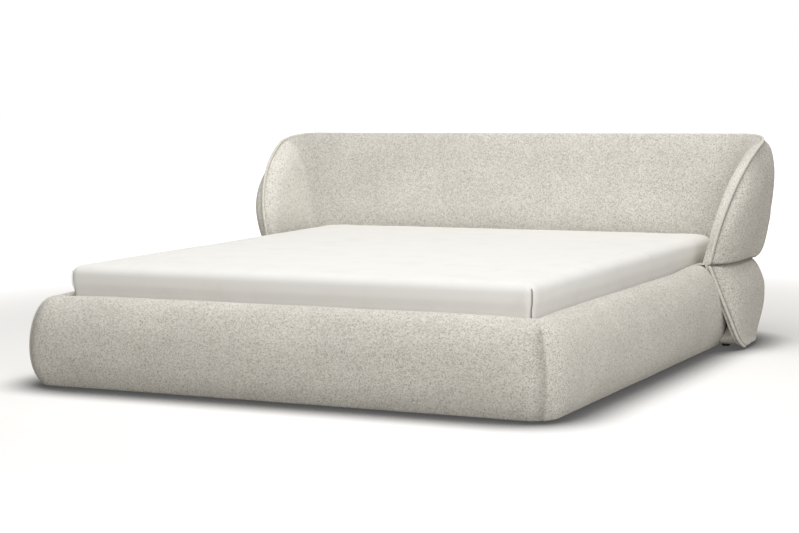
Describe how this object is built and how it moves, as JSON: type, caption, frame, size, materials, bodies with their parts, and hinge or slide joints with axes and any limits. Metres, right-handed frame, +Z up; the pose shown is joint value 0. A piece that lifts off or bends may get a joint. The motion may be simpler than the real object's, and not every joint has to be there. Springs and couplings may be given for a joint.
{
  "type": "upholstered bed",
  "caption": "Low upholstered bed with fat padded rails round a sunk mattress, and a piped headboard that wraps round both sides above a lower lobe.",
  "frame": {"origin": "on the floor, under the middle of the bed's plan", "axes": "+Y towards the headboard, +X towards the right-hand side seen from the foot, +Z up"},
  "size_m": [2.2714, 2.3369, 0.8515],
  "materials": {
    "boucle": "looped",
    "mattress_knit": "smooth knit",
    "foam": "foam",
    "webbing": "woven",
    "beech": "planed",
    "pine": "planed",
    "plywood": "sanded",
    "grey_steel": "powder coated",
    "zinc_steel": "zinc plated",
    "black_plastic": "moulded"
  },
  "bodies": {
    "bed_frame": {"base_glides": "black_plastic", "beam_hanger_foot": "grey_steel", "beam_hanger_head": "grey_steel", "centre_beam": "grey_steel", "centre_leg_foot": "grey_steel", "centre_leg_head": "grey_steel", "centre_leg_middle": "grey_steel", "corner_bolts": "zinc_steel", "corner_bracket_foot_left": "grey_steel", "corner_bracket_foot_right": "grey_steel", "corner_bracket_head_left": "grey_steel", "corner_bracket_head_right": "grey_steel", "foot_board": "pine", "foot_rail_pad": "boucle", "head_board": "pine", "headboard_base_board": "plywood", "headboard_bolts": "zinc_steel", "headboard_bottom_rail": "pine", "headboard_front_pad": "boucle", "headboard_glides": "black_plastic", "headboard_lower_bolster": "boucle", "headboard_lower_pad": "boucle", "headboard_lower_shell": "plywood", "headboard_piping_lower_left": "boucle", "headboard_piping_lower_right": "boucle", "headboard_piping_upper": "boucle", "headboard_post_left": "pine", "headboard_post_right": "pine", "headboard_top_rail": "pine", "headboard_upper_bolster": "boucle", "headboard_upper_shell": "plywood", "left_ledger": "pine", "left_rail_pad": "boucle", "left_side_board": "pine", "right_ledger": "pine", "right_rail_pad": "boucle", "right_side_board": "pine", "slat_01": "beech", "slat_02": "beech", "slat_03": "beech", "slat_04": "beech", "slat_05": "beech", "slat_06": "beech", "slat_07": "beech", "slat_08": "beech", "slat_09": "beech", "slat_10": "beech", "slat_11": "beech", "slat_12": "beech", "slat_13": "beech", "slat_tape_left": "webbing", "slat_tape_right": "webbing"},
    "mattress": {"mattress_core": "foam", "mattress_cover": "mattress_knit"},
    "screw_foot_foot_body": {"screw_foot_foot": "black_plastic"},
    "screw_foot_head_body": {"screw_foot_head": "black_plastic"},
    "screw_foot_middle_body": {"screw_foot_middle": "black_plastic"}
  },
  "joints": [
    {"name": "mattress_lift", "type": "slide", "parent": "bed_frame", "child": "mattress", "axis": [0, 0, 1], "range_m": [0, 0.15]},
    {"name": "screw_foot_foot_turn_out", "type": "slide", "parent": "bed_frame", "child": "screw_foot_foot_body", "axis": [0, 0, -1], "range_m": [0, 0.012]},
    {"name": "screw_foot_head_turn_out", "type": "slide", "parent": "bed_frame", "child": "screw_foot_head_body", "axis": [0, 0, -1], "range_m": [0, 0.012]},
    {"name": "screw_foot_middle_turn_out", "type": "slide", "parent": "bed_frame", "child": "screw_foot_middle_body", "axis": [0, 0, -1], "range_m": [0, 0.012]}
  ]
}
